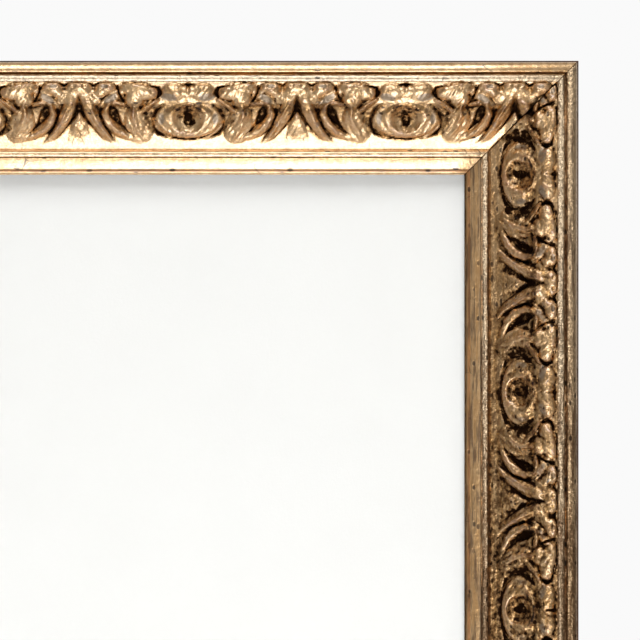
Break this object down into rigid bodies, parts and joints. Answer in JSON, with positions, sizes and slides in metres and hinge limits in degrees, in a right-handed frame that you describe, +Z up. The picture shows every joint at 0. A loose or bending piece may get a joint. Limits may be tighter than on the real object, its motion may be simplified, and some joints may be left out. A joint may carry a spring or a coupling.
{
  "type": "ornate picture frame",
  "caption": "Ornate gilded wall picture frame with a scooped, ornament-covered moulding, glass, insert, backing board, turn buttons and sawtooth hangers.",
  "frame": {"origin": "the point on the wall plane where a hook or nail carries the middle notch of the portrait hanger", "axes": "+X to the right and +Z up as the frame hangs, -Y towards the viewer, the wall at Y = 0"},
  "size_m": [0.37, 0.0275, 0.47],
  "materials": {
    "gilded_moulding": "satin",
    "gilded_ornament": "satin",
    "window_glass": "gloss",
    "white_paper": "matte",
    "hardboard": "matte",
    "zinc_steel": "satin",
    "screw_steel": "satin",
    "hanger_steel": "satin",
    "felt": "matte"
  },
  "bodies": {
    "frame": {"top_rail": "gilded_moulding", "right_rail": "gilded_moulding", "bottom_rail": "gilded_moulding", "left_rail": "gilded_moulding", "top_ornament": "gilded_ornament", "right_ornament": "gilded_ornament", "bottom_ornament": "gilded_ornament", "left_ornament": "gilded_ornament", "glass_pane": "window_glass", "insert_sheet": "white_paper", "backing_board": "hardboard", "button_screws": "screw_steel", "v_nails": "zinc_steel", "hanger_portrait": "hanger_steel", "hanger_landscape": "hanger_steel", "wall_pads": "felt"},
    "turn_button_left_upper": {"turn_button_left_upper": "zinc_steel"},
    "turn_button_left_lower": {"turn_button_left_lower": "zinc_steel"},
    "turn_button_right_upper": {"turn_button_right_upper": "zinc_steel"},
    "turn_button_right_lower": {"turn_button_right_lower": "zinc_steel"}
  },
  "joints": [
    {"name": "turn_button_left_upper_turn", "type": "hinge", "parent": "frame", "child": "turn_button_left_upper", "pos_m": [-0.159, -0.004, -0.111], "axis": [0, 1, 0], "continuous": true},
    {"name": "turn_button_left_lower_turn", "type": "hinge", "parent": "frame", "child": "turn_button_left_lower", "pos_m": [-0.159, -0.004, -0.331], "axis": [0, 1, 0], "continuous": true},
    {"name": "turn_button_right_upper_turn", "type": "hinge", "parent": "frame", "child": "turn_button_right_upper", "pos_m": [0.159, -0.004, -0.111], "axis": [0, 1, 0], "continuous": true},
    {"name": "turn_button_right_lower_turn", "type": "hinge", "parent": "frame", "child": "turn_button_right_lower", "pos_m": [0.159, -0.004, -0.331], "axis": [0, 1, 0], "continuous": true}
  ]
}
